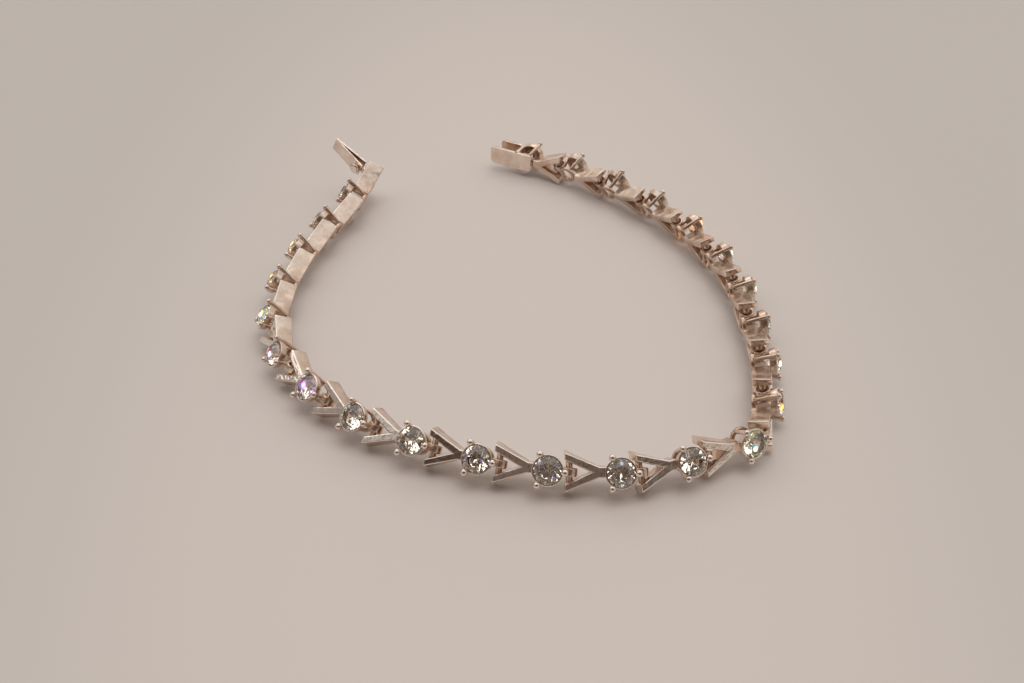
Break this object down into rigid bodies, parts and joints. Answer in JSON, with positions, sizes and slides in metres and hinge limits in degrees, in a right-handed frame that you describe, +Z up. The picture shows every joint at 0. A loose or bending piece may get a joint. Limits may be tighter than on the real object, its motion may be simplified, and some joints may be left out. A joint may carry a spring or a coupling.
{
  "type": "tennis bracelet",
  "caption": "Flexible tennis bracelet of V-shaped metal links with claw-set round clear stones, lying open on its edge with its box clasp undone.",
  "frame": {"origin": "on the table, below the middle of the whole bracelet's bounding box", "axes": "+Z up from the table; +Y away from the side that faces the camera in the picture; +X to the picture's right"},
  "size_m": [0.0616, 0.072, 0.0083],
  "materials": {
    "silver_metal": "polished silver-coloured plating on cast metal",
    "clear_stone": "cut and polished clear stone"
  },
  "bodies": {
    "chain": {"link_01": "silver_metal", "link_02": "silver_metal", "link_03": "silver_metal", "link_04": "silver_metal", "link_05": "silver_metal", "link_06": "silver_metal", "link_07": "silver_metal", "link_08": "silver_metal", "link_09": "silver_metal", "link_10": "silver_metal", "link_11": "silver_metal", "link_12": "silver_metal", "link_13": "silver_metal", "link_14": "silver_metal", "link_15": "silver_metal", "link_16": "silver_metal", "link_17": "silver_metal", "link_18": "silver_metal", "link_19": "silver_metal", "link_20": "silver_metal", "link_21": "silver_metal", "link_22": "silver_metal", "link_23": "silver_metal", "link_24": "silver_metal", "stone_01": "clear_stone", "stone_02": "clear_stone", "stone_03": "clear_stone", "stone_04": "clear_stone", "stone_05": "clear_stone", "stone_06": "clear_stone", "stone_07": "clear_stone", "stone_08": "clear_stone", "stone_09": "clear_stone", "stone_10": "clear_stone", "stone_11": "clear_stone", "stone_12": "clear_stone", "stone_13": "clear_stone", "stone_14": "clear_stone", "stone_15": "clear_stone", "stone_16": "clear_stone", "stone_17": "clear_stone", "stone_18": "clear_stone", "stone_19": "clear_stone", "stone_20": "clear_stone", "stone_21": "clear_stone", "stone_22": "clear_stone", "stone_23": "clear_stone", "stone_24": "clear_stone"},
    "tongue": {"clasp_tongue": "silver_metal"}
  },
  "joints": [
    {"name": "tongue_hinge", "type": "hinge", "parent": "chain", "child": "tongue", "pos_m": [-0.01956, 0.02505, 0.00363], "axis": [0.4038, -0.2764, 0.8721], "range_deg": [-78, 12]}
  ]
}
